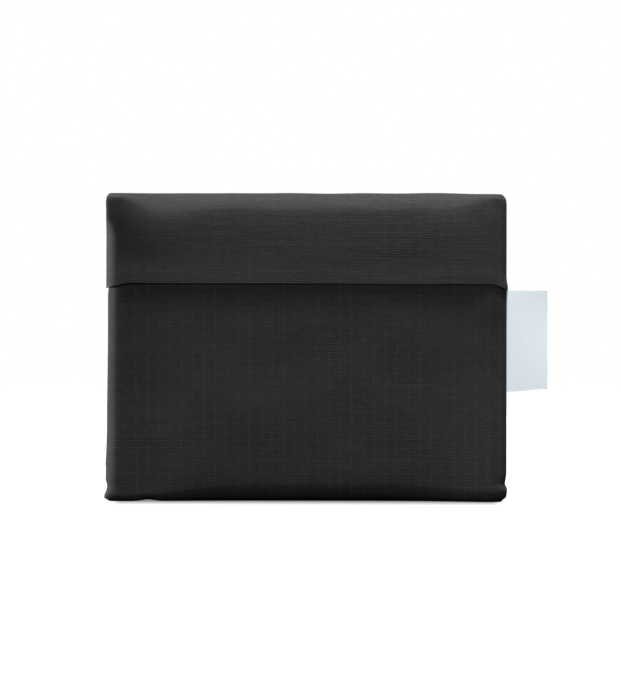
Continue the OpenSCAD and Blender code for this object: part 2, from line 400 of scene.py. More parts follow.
looks = {
    "ripstop": {"deep": (0.0088,) * 3, "raised": (0.037,) * 3, "worn": (0.028,) * 3, "rub": 0.2,
                "rough": (0.9, 0.75), "gloss": 0.0, "sheen": 0.01, "bump": 0.07, "weave": {}},
    # The hood is the same ripstop with its own weave, and its raised colour is a little lighter: painted
    # light that brightens the flap
    "hood": {"deep": (0.0079,) * 3, "raised": (0.0375,) * 3, "worn": (0.028,) * 3, "rub": 0.2,
             "rough": (0.9, 0.75), "gloss": 0.0, "sheen": 0.01, "bump": 0.07,
             "weave": {"Upright": 0.95, "Streak": 0.78, "Dots": 1.1}},
    "lining": {"deep": (0.014, 0.014, 0.016), "raised": (0.03, 0.03, 0.033), "worn": (0.03, 0.03, 0.032),
               "rub": 0.2, "rough": (0.9, 0.75), "gloss": 0.04, "sheen": 0.06, "bump": 0.07,
               "weave": {"Rib": 0.0006, "Upright": 0.9, "Dots": 0.7}},
    "strap": {"deep": (0.019, 0.019, 0.021), "raised": (0.04, 0.04, 0.043), "worn": (0.045, 0.045, 0.047),
              "rub": 0.3, "rough": (0.85, 0.7), "gloss": 0.06, "sheen": 0.06, "bump": 0.09,
              "weave": {"Rib": 0.0009, "Upright": 0.9, "Dots": 0.7}},
    "tape": {"deep": (0.009, 0.009, 0.01), "raised": (0.024, 0.024, 0.026), "rough": (0.9, 0.75),
             "gloss": 0.05, "sheen": 0.06, "bump": 0.12, "weave": {"Rib": 0.0009, "Thread": 0.0004}},
    "thread": {"deep": (0.016, 0.016, 0.017), "raised": (0.05, 0.05, 0.052), "rough": (0.75, 0.6),
               "gloss": 0.12, "sheen": 0.05, "bump": 0.05, "weave": {"Rib": 0.0003, "Thread": 0.0003}},
    "ribbon": {"deep": (0.62, 0.69, 0.73), "raised": (0.69, 0.755, 0.795), "rough": (0.5, 0.38),
               "gloss": 0.4, "sheen": 0.1, "bump": 0.02, "weave": {"Rib": 0.00045, "Thread": 0.00022}},
}
cloths = {name: makeMaterial(name, look) for name, look in looks.items()}
print("materials made:", ", ".join(cloths))


# Pocket: front and back panels that meet at the side and bottom seams
# The left side is -1 and the right side 1, and where both have a value the left comes first

pocket = {
    "mouthZ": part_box("pocket_front")[1].z / mm, "backTopZ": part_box("pocket_back")[1].z / mm,
    "halfWidth": 71.2, "squareness": 60, "rowDepth": 9, "eachSide": 85, "closeRows": 10, "footRows": 16,
    "underRows": 6, "cloth": 0.35,
    "sides": {
        -1: [{"out": 0.4, "fade": (74, 79)}, {"out": 0.55, "fade": (12, 62)},
             {"out": -0.45, "swell": (5.5, 2.4)}, {"out": 0.58, "swell": (1.7, 2.3)},
             {"out": 0.3, "rise": (4, 9), "fade": (12, 26)}, {"out": -1.3, "fade": (0, 1.3)}],
        1: [{"out": 1.0, "fade": (75.5, 79.5)}, {"out": -0.5, "rise": (5.0, 6.3), "fade": (6.3, 10.5)},
            {"out": 0.25, "swell": (4.0, 2.4)}, {"out": -1.7, "fade": (0, 1.9)}],
    },
    "sideDraw": 1.6, "topDrawFrom": 98, "topDrawOver": 12,
    "leftRounder": [{"out": 0.3, "rise": (2, 14)}, {"out": 1.0, "rise": (2, 14), "fade": (6, 52)},
                    {"out": -0.6, "fade": (0, 9)}],
    "seamGap": 0.05, "labelGap": 0.3, "labelGapFade": 4, "seamDent": {"out": -0.3, "peak": (0, 0.7)},
    "seamDentRise": (4, 9), "lean": 0.9, "leanFrom": 13.5, "leanSides": ((36, 62), (28, 70)),
    "cornerSides": ((18, 71), (28, 72)), "cornerLess": (4.2, 2.6), "cornerTuck": (2.4, 3.3),
    "underDraw": 5, "footNotch": {"out": 0.55, "peak": (-56.8, 3)}, "footArch": 0.2, "archHalf": 62,
    "liftHigh": 2,
}

panels = {
    "front": {
        "sign": -1, "topZ": pocket["mouthZ"], "depth": 8.9,
        "depthBulges": [{"out": 0.12, "swell": (30, 40)}, {"out": 0.66, "swell": (80, 13)}],
        "topDraw": 0, "footRound": 6.6, "footTuck": 5.6,
        "edges": [{"out": 0.5, "peak": (-69, 14)}, {"out": 0.4, "peak": (70, 10)}],
        "pucker": {"out": 0.12, "stretch": 0.3, "size": 4.2, "seed": 4.1, "peak": (70, 6)},
        "reliefFade": (68, 82), "waves": {"out": 0.16, "size": 17, "seed": 1.7}, "wavesFade": (68, 82),
        "spots": [
            (-58, 36, 24, 24, -0.4, 0),
            (68, 8, 18, 25, 1.25, 0),
            (70.4, 53, 1.5, 17, -0.3, 0),
            (67.5, 75, 3, 3.5, 0.35, 0),
            (-67, 70, 10, 7, 0.4, 0),
            (69, 70, 8, 7, 0.4, 0),
            (-30, 30, 40, 9, 0.2, 14),
            (20, 48, 45, 10, -0.18, -9),
        ],
    },
    "back": {
        "sign": 1, "topZ": pocket["backTopZ"], "depth": 9.4,
        "depthBulges": [{"out": 0.6, "swell": (48, 50)}], "topDraw": 0.8, "footRound": 6.0,
        "footTuck": 4.2, "edges": [{"out": 0.5, "peak": (-70, 12)}, {"out": 0.5, "peak": (70, 12)}],
        "pucker": {"out": 0.12, "stretch": 0.3, "size": 4.6, "seed": 8.3, "peak": (70, 7)},
        "reliefFade": (90, 104), "waves": {"out": 0.16, "size": 19, "seed": 6.2},
        "wavesFade": (94, 106),
        "spots": [
            (-20, 62, 42, 12, 0.25, -12),
            (34, 34, 36, 10, 0.25, 16),
            (-58, 24, 12, 15, 0.35, 0),
            (62, 80, 9, 16, -0.2, 0),
        ],
    },
}

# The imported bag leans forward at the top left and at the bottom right
twist = {
    "left": {"out": 1.5, "fade": (-68, -40)}, "leftFrom": 58, "leftOver": 45,
    "right": {"out": 0.5, "rise": (40, 68)}, "rightFrom": 40, "rightFade": (60, 80),
}


def frontTwist(x, z):
    left = bulge(x, twist["left"]) * (z - twist["leftFrom"]) / twist["leftOver"]
    right = bulge(x, twist["right"]) * (twist["rightFrom"] - z) / twist["rightFrom"]
    return left + right * (1 - ease(*twist["rightFade"], z))


def sideReach(z, side):
    topDraw = np.maximum(0, z - pocket["mouthZ"]) / (pocket["backTopZ"] - pocket["mouthZ"])
    return pocket["halfWidth"] + bulges(z, pocket["sides"][side]) - pocket["sideDraw"] * topDraw ** 3


# The label's ends need room in the right seam
def seamGap(x, z):
    low, high = (corner.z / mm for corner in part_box("side_label"))
    inLabel = ease(low - pocket["labelGapFade"], low, z) - ease(high, high + pocket["labelGapFade"], z)
    return pocket["seamGap"] + np.where(x < 0, 0, pocket["labelGap"] * inLabel)


def panelDepth(panel, z):
    topDraw = np.maximum(0, z - pocket["topDrawFrom"]) / pocket["topDrawOver"]
    return panel["depth"] + bulges(z, panel["depthBulges"]) - panel["topDraw"] * topDraw ** 2


def footLean(x, z):
    upward = np.clip(1 - z / pocket["leanFrom"], 0, 1)
    return pocket["lean"] * middleShare(x, pocket["leanSides"]) * upward ** 2


def panelRelief(panel, x, z):
    relief = bulges(x, panel["edges"]) + lumps(x, z, panel["spots"]) + puckers(x, z, panel["pucker"])
    relief = relief * (1 - ease(*panel["reliefFade"], z))
    relief = relief + waves(x, z, panel["waves"]) * (1 - ease(*panel["wavesFade"], z))
    return relief + frontTwist(x, z) if panel["sign"] < 0 else relief


# Rows are shares of the way down, then angles round the foot, then shares of the way under it
def panelSteps(panel):
    straight = np.linspace(0, 1, int(panel["topZ"] - panel["footRound"]) + 1)
    close = straight[-pocket["closeRows"] - 1:]
    between = (close[:-1] + close[1:]) / 2
    steps = [("straight", s) for s in np.sort(np.concatenate([straight, between]))]
    steps += [("foot", a) for a in turnSteps(0, 90, pocket["footRows"])[1:]]
    return steps + [("under", s) for s in np.linspace(0, 1, pocket["underRows"] + 1)[1:]]


def panelRow(panel, kind, s, inset):
    p = pocket
    top, fullRound, fullTuck = panel["topZ"], panel["footRound"], panel["footTuck"]
    reaches = []
    for side, less in zip((-1, 1), p["cornerLess"]):
        edgeZ = {"straight": top + (fullRound - less - top) * s,
                 "foot": (fullRound - less) * (1 - math.sin(s)), "under": 0.0}[kind]
        drawn = p["underDraw"] * s if kind == "under" else 0
        reaches.append(sideReach(edgeZ, side) - inset - drawn)
    x, full = evenRow(*reaches, p["rowDepth"], p["squareness"], p["eachSide"])
    atCorner = 1 - middleShare(x, p["cornerSides"])
    footRound = fullRound - np.where(x < 0, *p["cornerLess"]) * atCorner
    footTuck = fullTuck + (np.where(x < 0, *p["cornerTuck"]) - fullTuck) * atCorner
    if kind == "straight":
        z = top + (footRound - top) * s
        depth = panelDepth(panel, z) - inset
    else:
        angle = s if kind == "foot" else math.pi / 2
        z = footRound * (1 - math.sin(angle)) + inset * math.sin(angle)
        depth = panelDepth(panel, footRound) - footTuck + (footTuck - inset) * math.cos(angle)
    depth = depth - footLean(x, z) + panelRelief(panel, x, z)
    if kind == "under":
        depth = depth * (1 - s)
    full = full ** (1 + bulges(z, p["leftRounder"]) * (x < 0))
    return np.column_stack([x, panel["sign"] * np.maximum(depth * full, seamGap(x, z)), z])


def panelGrid(face, inset=0.0, keep=None):
    p, panel = pocket, panels[face]
    grid = np.array([panelRow(panel, kind, s, inset) for kind, s in panelSteps(panel)[:keep]])
    x, y, z = np.moveaxis(grid, 2, 0)
    lift = bulge(x, p["footNotch"]) + p["footArch"] * np.exp(-(x / p["archHalf"]) ** 4)
    z += lift * peak(z, 0, p["liftHigh"])
    seam = bulge(y, p["seamDent"]) * ease(*p["seamDentRise"], z)
    grid -= panel["sign"] * outward(grid) * seam[:, :, None]
    grid[:, :, 2] = np.maximum(grid[:, :, 2], 0)
    return grid


frontGrid, backGrid = panelGrid("front"), panelGrid("back")
pocketFront = makeCloth("pocket_front_cloth", frontGrid, pocket["cloth"], cloths["ripstop"])
pocketBack = makeCloth("pocket_back_cloth", backGrid, pocket["cloth"], cloths["ripstop"], flip=True)
for piece, node in ((pocketFront, "pocket_front"), (pocketBack, "pocket_back")):
    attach(piece, "pocket")
    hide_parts(node)
print("pocket panels made")


# Flap: a hood that goes from the back over the top and down the front

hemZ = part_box("flap_hem")[0].z / mm + 1.05
flap = {
    "topZ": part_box("flap_outer")[1].z / mm + 0.05, "halfWidth": 72.15, "depth": 10.0, "squareness": 60,
    "rowDepth": 0.13, "eachSide": 88,
    "rows": {"strip": 8, "fold": 8, "top": 12, "round": 18, "front": 24, "under": 8},
    "hemRows": (0.98, 0.997, 1), "cloth": 0.18,
    "cornerCut": {-1: {"in": 2.5, "high": 4.4}, 1: {"in": 3.2, "high": 3.8}},
    "sideBulge": {-1: {"out": -0.4, "peak": (103.5, 6)}, 1: {"out": 0.5, "peak": (hemZ - 1, 1.8)}},
    "topRound": 7.4, "topTuck": 10.5, "topDip": (0.045, 0.07),
    "roundBulges": [{"out": -5.6, "fade": (-67, -49)}, {"out": -5.0, "rise": (44, 70)},
                    {"out": 1.3, "peak": (-50, 12)}, {"out": -0.8, "peak": (-24, 8)},
                    {"out": -0.9, "peak": (41, 9)}],
    "topLean": 1.9, "leanHigh": 15.0, "leanSides": ((53, 69), (54, 70)),
    "topSags": [{"out": 0.1, "peak": (-10, 40)}, {"out": 0.3, "peak": (46, 16)}],
    "topWaves": {"out": 0.16, "size": 14, "seed": 9.1}, "sagFrom": (9, 6), "frontFrom": (1, -4),
    "pinch": {"out": 0.96, "rise": (93, 102)}, "backStrip": 7.0, "cornerStrip": 0.6,
    "stripEnds": (0.84, 0.97), "backRound": 1.5, "rearY": 9.6, "hemHigh": 9.0, "hemRoll": 0.2,
    "hemDips": ({"out": 1.5, "from": 0.85}, {"out": 2.0, "from": 0.9}), "hemDipPower": 1.5,
    "hemSlope": {"out": 0.17, "rise": (0.1, 0.4)}, "hemDipHigh": 12,
    "hemOut": {"out": 0.2, "fade": (0, 8)}, "hemDent": {"out": -0.18, "fade": (-62, -38)},
    "hemDentZ": (88, 4.5),
    "edges": [{"out": 0.5, "peak": (-69, 13), "fadeZ": (100, 109)},
              {"out": 0.2, "peak": (71, 10), "fadeZ": (98, 108)}],
    "pucker": {"out": 0.1, "stretch": 0.3, "size": 4, "seed": 2.4, "peak": (70, 6)},
    "waves": {"out": 0.14, "size": 15, "seed": 5.3},
    "spots": [
        (65.5, 108, 4, 1.8, -0.4, -40),
        (-66, 113, 20, 22, 2.6, 0),
        (-69, 112, 7, 8, 0.4, 0),
        (30, 92, 40, 6, 0.15, 5),
    ],
    "softSides": [{"out": 0.5, "rise": (-69, -58), "fade": (-48, -28)},
                  {"out": 0.5, "rise": (36, 48), "fade": (62, 70)}],
    "softHigh": {"out": 1, "rise": (88, 94), "fade": (107.5, 110)}, "softFrom": (2, -2),
    "softPasses": 16,
}
lining = {"inset": 0.42, "cloth": 0.25, "rearY": 7.6, "aboveHem": 0.2}


def hoodReach(z, side, inset):
    cut = flap["cornerCut"][side]
    corner = np.clip((z - (flap["topZ"] - inset - cut["high"])) / cut["high"], 0, 1)
    reach = flap["halfWidth"] - inset - cut["in"] * (1 - np.sqrt(np.maximum(0, 1 - corner ** 2)))
    return reach + bulge(z, flap["sideBulge"][side])


# Below the round top edge the front still leans back a little
def frontLean(x, drop):
    upward = np.clip(1 - drop / flap["leanHigh"], 0, 1)
    return flap["topLean"] * middleShare(x, flap["leanSides"]) * upward ** 2


# The hem comes down at both ends, and a little towards the right
def hemDip(x, z):
    left, right = (dip["out"] * ease(dip["from"], 1.0, along) ** flap["hemDipPower"]
                   for dip, along in zip(flap["hemDips"], (-x, x)))
    dip = np.where(x < 0, left, right) + bulge(x, flap["hemSlope"])
    return dip * ease(hemZ + flap["hemDipHigh"], hemZ, z)


def hoodRelief(x, z):
    relief = sum(bulge(x, edge) * (1 - ease(*edge["fadeZ"], z)) for edge in flap["edges"])
    relief = relief + bulge(z - hemZ, flap["hemOut"]) + bulge(x, flap["hemDent"]) * peak(z, *flap["hemDentZ"])
    relief = relief + puckers(x, z, flap["pucker"]) + lumps(x, z, flap["spots"])
    return relief + frontTwist(x, z) + waves(x, z, flap["waves"])


# Rows run from the strip on the back, over the fold and the top, to the hem in front
def hoodSteps(withStrip, turnUnder):
    rows = flap["rows"]
    steps = []
    if withStrip:
        steps += [("strip", s) for s in np.linspace(0, 1, rows["strip"] + 1)[:-1]]
        steps += [("fold", a) for a in turnSteps(0, 90, rows["fold"])[:-1]]
    steps += [("top", s) for s in np.linspace(0, 1, rows["top"] + 1)]
    steps += [("round", a) for a in turnSteps(90, 0, rows["round"])[1:]]
    steps += [("front", s) for s in (*np.linspace(0, 1, rows["front"] + 1)[1:-1], *flap["hemRows"])]
    if turnUnder:
        steps += [("under", a) for a in turnSteps(0, 180, rows["under"])[1:]]
    return steps


# The top edge is round, but sharp at both corners, and the left corner is pinched
def hoodRow(kind, s, inset, flatStart, lowZ):
    f = flap
    x, full = evenRow(1, 1, f["rowDepth"], f["squareness"], f["eachSide"])
    across = x * f["halfWidth"]
    depth = f["depth"] - inset
    outerHigh = f["topRound"] + bulges(across, f["roundBulges"])
    roundDeep = f["topTuck"] * np.sqrt(outerHigh / f["topRound"]) - inset
    top = f["topZ"] - inset - np.where(x < 0, *f["topDip"]) * np.maximum(0, f["topRound"] - outerHigh)
    low = top - outerHigh + inset
    strip = f["cornerStrip"] + (f["backStrip"] - f["cornerStrip"]) * (1 - ease(*f["stripEnds"], np.abs(x)))
    bend = np.minimum(f["backRound"], strip)
    rearY = f["rearY"] - inset
    if kind == "strip":
        z = top - bend - strip * (1 - s) * ease(0, 1, strip / 2)
        back = np.full(x.shape, rearY)
    elif kind == "fold":
        z = top - bend + bend * math.sin(s)
        back = rearY - bend + bend * math.cos(s)
    elif kind == "top":
        z = top
        back = flatStart + (frontLean(across, 0) - (depth - roundDeep) - flatStart) * s
    elif kind == "round":
        z = low + (top - low) * math.sin(s)
        back = frontLean(across, top - z) - (depth - roundDeep + roundDeep * math.cos(s))
    elif kind == "front":
        z = low + (lowZ - low) * s
        back = frontLean(across, top - z) - depth
    else:
        z = np.full(x.shape, lowZ - f["hemRoll"] * math.sin(s))
        back = np.full(x.shape, f["hemRoll"] * (1 - math.cos(s)) - depth)
    z = z - hemDip(x, z)
    pinched = {"strip": 0, "fold": 0, "top": s ** 2}.get(kind, 1)
    full = full ** (1 - np.where(x < 0, pinched * bulge(z, f["pinch"]), 0))
    reach = np.where(x < 0, hoodReach(z, -1, inset), hoodReach(z, 1, inset))
    return np.column_stack([x * reach, back * full, z])


# Beside both corners the round top edge runs softly into the front
def softenTop(grid):
    x, y, z = np.moveaxis(grid, 2, 0)
    share = bulges(x, flap["softSides"]) * bulge(z, flap["softHigh"]) * ease(*flap["softFrom"], y)
    for sweep in range(flap["softPasses"]):
        grid[1:-1] += share[1:-1, :, None] * ((grid[:-2] + grid[2:]) / 2 - grid[1:-1])


def hoodGrid(inset, withStrip, lowZ, turnUnder):
    f = flap
    flatStart = f["rearY"] - inset - f["backRound"] if withStrip else lining["rearY"]
    steps = hoodSteps(withStrip, turnUnder)
    grid = np.array([hoodRow(kind, s, inset, flatStart, lowZ) for kind, s in steps])
    x, y, z = np.moveaxis(grid, 2, 0)
    inFront = ease(*f["frontFrom"], y)
    sag = bulges(x, f["topSags"]) + waves(x, y, f["topWaves"])
    normal = outward(grid)
    y += normal[:, :, 1] * hoodRelief(x, z) * inFront
    z += normal[:, :, 2] * sag * (1 - inFront) * ease(*f["sagFrom"], y)
    softenTop(grid)
    return grid


def hemBandGrid():
    inner = hoodGrid(2 * flap["hemRoll"], False, hemZ + flap["hemRoll"], False)
    middle = inner.shape[1] // 2
    return inner[inner[:, middle, 2] < hemZ + flap["hemHigh"]][::-1]


hoodOutside = hoodGrid(0, True, hemZ + flap["hemRoll"], True)
hoodInside = hoodGrid(lining["inset"], False, hemZ + flap["hemHigh"] + lining["aboveHem"], False)
hemBand = hemBandGrid()
hemRow = len(hoodOutside) - flap["rows"]["under"] - 1
flapOuter = makeCloth("flap_outer_cloth", hoodOutside, flap["cloth"], cloths["hood"], evenFrom=hemRow)
flapLining = makeCloth("flap_lining_cloth", hoodInside, lining["cloth"], cloths["lining"])
flapHem = makeCloth("flap_hem_fold", hemBand, flap["cloth"], cloths["hood"])
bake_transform(flapOuter)
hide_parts("flap_outer", "flap_fold")
for piece, node, slot in ((flapLining, "flap_lining", "lining"), (flapHem, "flap_hem", "ripstop")):
    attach(piece, "flap")
    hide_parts(node)
print("flap made")


# Label: a satin ribbon folded double, its ends caught in the side seam

label = {
    "seamX": 72.9, "rootX": 66.0, "endX": 86.85, "lowZ": 39.6, "rise": 1.0, "highZ": 76.0, "ply": 0.2,
    "spread": 0.34, "sewnSpread": 0.14, "spreadFrom": (-0.6, 3), "runPoints": 36, "endPoints": 11,
    "rows": 37, "bow": 0.2, "ripple": {"out": 0.12, "turn": 5, "start": 1},
}


def ribbonPath():
    run = np.linspace(label["rootX"], label["endX"] - label["spread"], label["runPoints"])
    opening = ease(*(label["seamX"] + d for d in label["spreadFrom"]), run)
    behind = label["sewnSpread"] + (label["spread"] - label["sewnSpread"]) * opening
    angles = turnSteps(-90, 90, label["endPoints"] + 1)[1:-1]
    endFold = np.column_stack([label["endX"] - label["spread"] + label["spread"] * np.cos(angles),
                               label["spread"] * np.sin(angles)])
    front = np.column_stack([run, np.full(run.shape, -label["spread"])])
    return np.vstack([front, endFold, np.column_stack([run, behind])[::-1]])


def ribbonGrid():
    path = ribbonPath()
    out = ease(label["seamX"], label["endX"], path[:, 0])
    low = label["lowZ"] + label["rise"] * out
    ripple = label["ripple"]
    rows = []
    for s in np.linspace(0, 1, label["rows"]):
        z = label["highZ"] + (low - label["highZ"]) * s
        wave = label["bow"] * np.sin(np.pi * s) + ripple["out"] * np.sin(ripple["turn"] * s + ripple["start"])
        rows.append(np.column_stack([path[:, 0], path[:, 1] + wave * out, z]))
    return np.array(rows)


labelGrid = ribbonGrid()
sideLabel = makeCloth("label_ribbon", labelGrid, label["ply"], cloths["ribbon"], offset=0)
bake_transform(sideLabel)
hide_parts("side_label", "label_sewn_ends")
print("label made")


# Mouth hem: the cloth of the front panel rolled over the mouth and down inside

mouthHem = {"high": 8.0, "roll": 0.36, "rollRows": 10, "cloth": 0.3}


def mouthHemGrid():
    band = panelGrid("front", 2 * mouthHem["roll"], keep=int(mouthHem["high"]) + 1)
    rows = list(band[::-1])
    for a in turnSteps(180, 0, mouthHem["rollRows"])[1:]:
        edge = panelGrid("front", mouthHem["roll"] * (1 - math.cos(a)), keep=2)[0]
        edge[:, 2] += mouthHem["roll"] * math.sin(a)
        rows.append(edge)
    return np.array(rows)


mouthFold = makeCloth("mouth_hem_fold", mouthHemGrid(), mouthHem["cloth"], cloths["ripstop"])
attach(mouthFold, "pocket")
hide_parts("mouth_hem")
print("mouth hem made")


# Bound seams along the sides and the bottom, inside the pocket

seamTape = {"inset": 0.85, "cloth": 0.4, "wide": 10, "fromSeam": 1, "lowZ": 4.5, "heightAt": 20,
            "bottomFrom": 16}


def seamTapeGrids():
    whole = panelGrid("back", seamTape["inset"])
    heights = whole[:, seamTape["heightAt"], 2]
    beside = whole[(heights < pocket["mouthZ"]) & (heights > seamTape["lowZ"])]
    first, wide = seamTape["fromSeam"], seamTape["wide"]
    return {
        "left_seam_tape": beside[:, first:first + wide],
        "right_seam_tape": beside[:, -first - wide:-first],
        "bottom_seam_tape": whole[-pocket["underRows"] - 1:, seamTape["bottomFrom"]:-seamTape["bottomFrom"]],
    }


tapeGrids = seamTapeGrids()
for node, grid in tapeGrids.items():
    tape = makeCloth(node.replace("tape", "binding"), grid, seamTape["cloth"], cloths["tape"])
    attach(tape, "pocket")
    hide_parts(node)
print("seam bindings made")


# Pieces that run along a line seen from the side, much the same all the way across

sideLine = {"step": 3.0, "turnPoints": 11, "looseSize": 24, "looseShift": 0.3, "raggedShift": (0.03, 0.5)}


def foldLine(layers, ends, turns, radius):
    points = []
    for i, y in enumerate(layers):
        start = ends[0] if i == 0 else turns[i - 1]
        stop = ends[1] if i == len(layers) - 1 else turns[i]
        count = max(2, int(abs(stop - start) / sideLine["step"]))
        points += [(y, z) for z in np.linspace(start, stop, count)]
        if i < len(layers) - 1:
            up = 1 if stop > start else -1
            middle = (y + layers[i + 1]) / 2
            for a in halfTurn():
                points.append((middle + radius * math.cos(a), stop + up * radius * math.sin(a)))
    return np.array(points)


def halfTurn():
    return turnSteps(180, 0, sideLine["turnPoints"] + 1)[1:-1]


def sideStep(line, distance):
    along = np.gradient(line, axis=0)
    along /= np.linalg.norm(along, axis=1, keepdims=True)
    return line + distance * np.column_stack([-along[:, 1], along[:, 0]])


def acrossGrid(line, middle, wide, shape):
    x = np.linspace(middle - wide / 2, middle + wide / 2, shape["columns"])
    alongZ, alongY = sideLine["raggedShift"]
    rows = []
    for y, z in line:
        height = np.full(x.shape, z)
        seed = sideLine["looseShift"] * y + shape["seed"]
        push = shape["loose"] * waver(x, height, sideLine["looseSize"], seed)
        ragged = 1 + shape["ragged"] * noise.noise(Vector((alongZ * z, alongY * y, shape["seed"])))
        rows.append(np.column_stack([middle + (x - middle) * ragged, y + push, height]))
    return np.array(rows)


# The bag, folded up: two cloths that go up and down together in seven layers

foldedBag = {
    "wide": 124.0, "firstLayer": -3.275, "pitch": 1.7, "openEnd": 105.9, "sewnEnd": 9.2,
    "topFolds": [107.52, 105.01, 107.29], "bottomFolds": [3.38, 3.68, 2.58], "apart": 0.275,
    "cloth": 0.28, "loose": 0.13, "ragged": 0.008, "seed": 3.3, "columns": 36,
}


def bagLine(side):
    b = foldedBag
    turns = [z for pair in zip(b["bottomFolds"], b["topFolds"]) for z in pair]
    layers = [b["firstLayer"] + b["pitch"] * i for i in range(len(turns) + 1)]
    line = foldLine(layers, (b["openEnd"], b["sewnEnd"]), turns, b["pitch"] / 2)
    return sideStep(line, side * b["apart"])


bagPanels, bagGrids = [], []
for name, side in (("bag_front_panel", -1), ("bag_back_panel", 1)):
    grid = acrossGrid(bagLine(side), 0, foldedBag["wide"], foldedBag)
    panel = makeCloth(name.replace("panel", "cloth"), grid, foldedBag["cloth"], cloths["ripstop"], offset=0)
    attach(panel, "pocket")
    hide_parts(name)
    bagPanels.append(panel)
    bagGrids.append(grid)
print("folded bag made")


# Binding round the mouth of the bag

mouthBinding = {
    "lowZ": 99.0, "topZ": 106.2, "wide": 123.8, "out": 0.74, "cloth": 0.32, "sideRows": 7,
    "loose": foldedBag["loose"], "ragged": 0.0, "seed": foldedBag["seed"], "columns": 48,
}


def bindingLine():
    y, r = foldedBag["firstLayer"], mouthBinding["out"]
    bend = mouthBinding["topZ"] - r - mouthBinding["cloth"] / 2
    side = np.linspace(mouthBinding["lowZ"], bend, mouthBinding["sideRows"])
    points = [(y - r, z) for z in side]
    points += [(y + r * math.cos(a), bend + r * math.sin(a)) for a in halfTurn()]
    return np.array(points + [(y + r, z) for z in side[::-1]])


bindingGrid = acrossGrid(bindingLine(), 0, mouthBinding["wide"], mouthBinding)
binding = makeCloth("bag_mouth_tape", bindingGrid, mouthBinding["cloth"], cloths["tape"], offset=0)
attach(binding, "pocket")
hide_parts("bag_mouth_binding")
print("bag binding made")


# Shoulder straps, each folded into three

shoulderStrap = {
    "middleX": 35.0, "wide": 40.0, "layers": [-7.35, -5.85, -4.35], "ends": (9.0, 93.0),
    "turns": [95.7, 6.0], "turnRadius": 0.75, "cloth": 0.8, "loose": 0.1, "ragged": 0.004, "seed": 2.1,
    "columns": 13,
}


def strapGrid(side):
    t = shoulderStrap
    line = foldLine(t["layers"], t["ends"], t["turns"], t["turnRadius"])
    return acrossGrid(line, side * t["middleX"], t["wide"], {**t, "seed": side * t["seed"]})


straps, strapGrids = [], []
for name, side in (("left_strap", -1), ("right_strap", 1)):
    grid = strapGrid(side)
    clothName = name.replace("_strap", "_shoulder_strap")
    strap = makeCloth(clothName, grid, shoulderStrap["cloth"], cloths["strap"], offset=0)
    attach(strap, "pocket")
    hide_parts(name)
    straps.append(strap)
    strapGrids.append(grid)
print("straps made")


# Tape that joins the bag to the bottom seam of its pocket

joinTape = {
    "line": [(7.7, 23.2), (7.7, 15.0), (7.7, 6.4), (7.0, 3.8), (6.26, 1.45)], "wide": 80.0,
    "cloth": 0.45, "rows": 18, "loose": 0.06, "ragged": 0.0, "seed": 7.7, "columns": 33,
}


def joinTapeGrid():
    line = np.array(joinTape["line"])
    reach = lengthAlong(line)
    places = np.linspace(0, reach[-1], joinTape["rows"])
    even = np.column_stack([np.interp(places, reach, line[:, 0]), np.interp(places, reach, line[:, 1])])
    return acrossGrid(even, 0, joinTape["wide"], joinTape)


joinGrid = joinTapeGrid()
joiner = makeCloth("joining_strip", joinGrid, joinTape["cloth"], cloths["tape"], offset=0)
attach(joiner, "pocket")
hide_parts("joining_tape")
print("joining tape made")


# Stitches: one is modelled, and each seam is a row of copies

stitch = {"long": 2.3, "thick": 0.4, "sink": 0.16, "sinkBeyond": 0.35, "pitch": 3.1, "lift": 0.04,
          "ahead": 0.4, "sides": 6}


def modelStitch():
    deselectAll()
    bpy.ops.mesh.primitive_uv_sphere_add(segments=stitch["sides"], ring_count=stitch["sides"], radius=1,
                                         location=(0, 0, 0), rotation=(0, math.radians(90), 0))
    item = bpy.context.object
    bpy.ops.object.transform_apply(location=False, rotation=True, scale=False)
    bpy.ops.object.mode_set(mode="EDIT")
    bpy.ops.mesh.select_all(action="SELECT")
    bpy.ops.transform.resize(value=(stitch["long"] / 2, stitch["thick"] / 2, stitch["thick"] / 2))
    bpy.ops.mesh.select_all(action="DESELECT")
    bpy.ops.object.mode_set(mode="OBJECT")
    for point in item.data.vertices:
        point.select = abs(point.co.x) > stitch["sinkBeyond"] * stitch["long"]
    bpy.ops.object.mode_set(mode="EDIT")
    bpy.ops.transform.translate(value=(0, 0, -stitch["sink"]))
    bpy.ops.object.mode_set(mode="OBJECT")
    points = np.array([tuple(point.co) for point in item.data.vertices])
    faces = [tuple(face.vertices) for face in item.data.polygons]
    bpy.data.meshes.remove(item.data)
    return points, faces


stitchPoints, stitchFaces = modelStitch()


def pointAt(place, reach, table):
    return np.array([np.interp(place, reach, table[:, k]) for k in range(3)])


def stitchRow(name, body, lines):
    allPoints, allFaces, allUv = [], [], []
    for points, normals in lines:
        reach = lengthAlong(points)
        for place in np.arange(stitch["pitch"], reach[-1] - stitch["pitch"] / 2, stitch["pitch"]):
            at, up = pointAt(place, reach, points), pointAt(place, reach, normals)
            along = pointAt(place + stitch["ahead"], reach, points) - at
            along /= np.linalg.norm(along)
            up = up - along * np.dot(up, along)
            up /= np.linalg.norm(up)
            turn = np.array([along, np.cross(up, along), up])
            start = len(allPoints) * len(stitchPoints)
            allPoints.append(at + up * stitch["lift"] + stitchPoints @ turn)
            allFaces += [tuple(start + i for i in face) for face in stitchFaces]
            allUv.append((stitchPoints[:, :2] + (place, 0)) * mm)
    piece = newPiece(name, np.vstack(allPoints), allFaces, np.vstack(allUv))
    makeActive(piece)
    bpy.ops.object.shade_smooth()
    piece.data.materials.append(cloths["thread"])
    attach(piece, body)
    return piece


# Lines of stitches along a row or a column of a grid, with the way out of the cloth

def acrossLine(grid, row, trim, side=1):
    normals = outward(grid) * side
    return grid[row, trim:-trim], normals[row, trim:-trim]


def lengthLine(grid, column, side=1):
    normals = outward(grid) * side
    return grid[:, column], normals[:, column]


